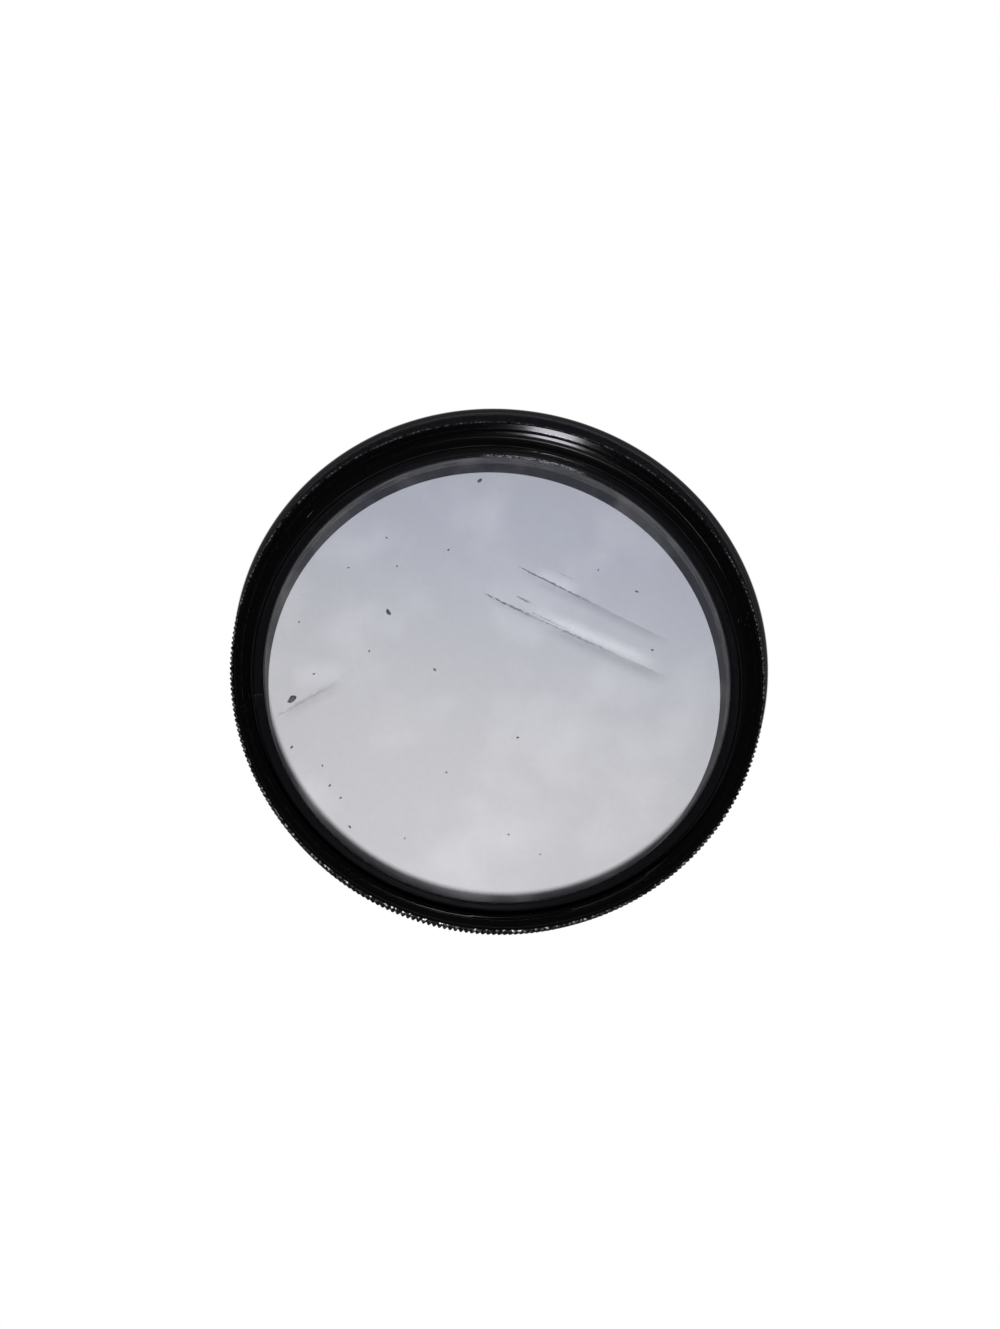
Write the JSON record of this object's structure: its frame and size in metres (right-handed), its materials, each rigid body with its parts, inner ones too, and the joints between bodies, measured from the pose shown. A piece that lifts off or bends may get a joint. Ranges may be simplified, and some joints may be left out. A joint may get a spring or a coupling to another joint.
{
  "type": "screw in lens filter",
  "caption": "Round glass filter in a black knurled rim, with a female thread in front and a male thread behind, held by a thin threaded ring.",
  "frame": {"origin": "centre of the male thread's end, on the surface that the filter lies on", "axes": "+Z along the filter's axis, out of its front, female-threaded side; +X and +Y lie in the plane of the end face"},
  "size_m": [0.0546, 0.0546, 0.0071],
  "materials": {
    "rim_black": "black anodised, worn bright on the knurling and the thread edges",
    "filter_glass": "polished, with dust, lint and two wiped smears",
    "ring_black": "black anodised, inner edge worn to bare metal"
  },
  "bodies": {
    "root": {"rim": "rim_black", "glass": "filter_glass", "retaining_ring": "ring_black"}
  },
  "joints": []
}
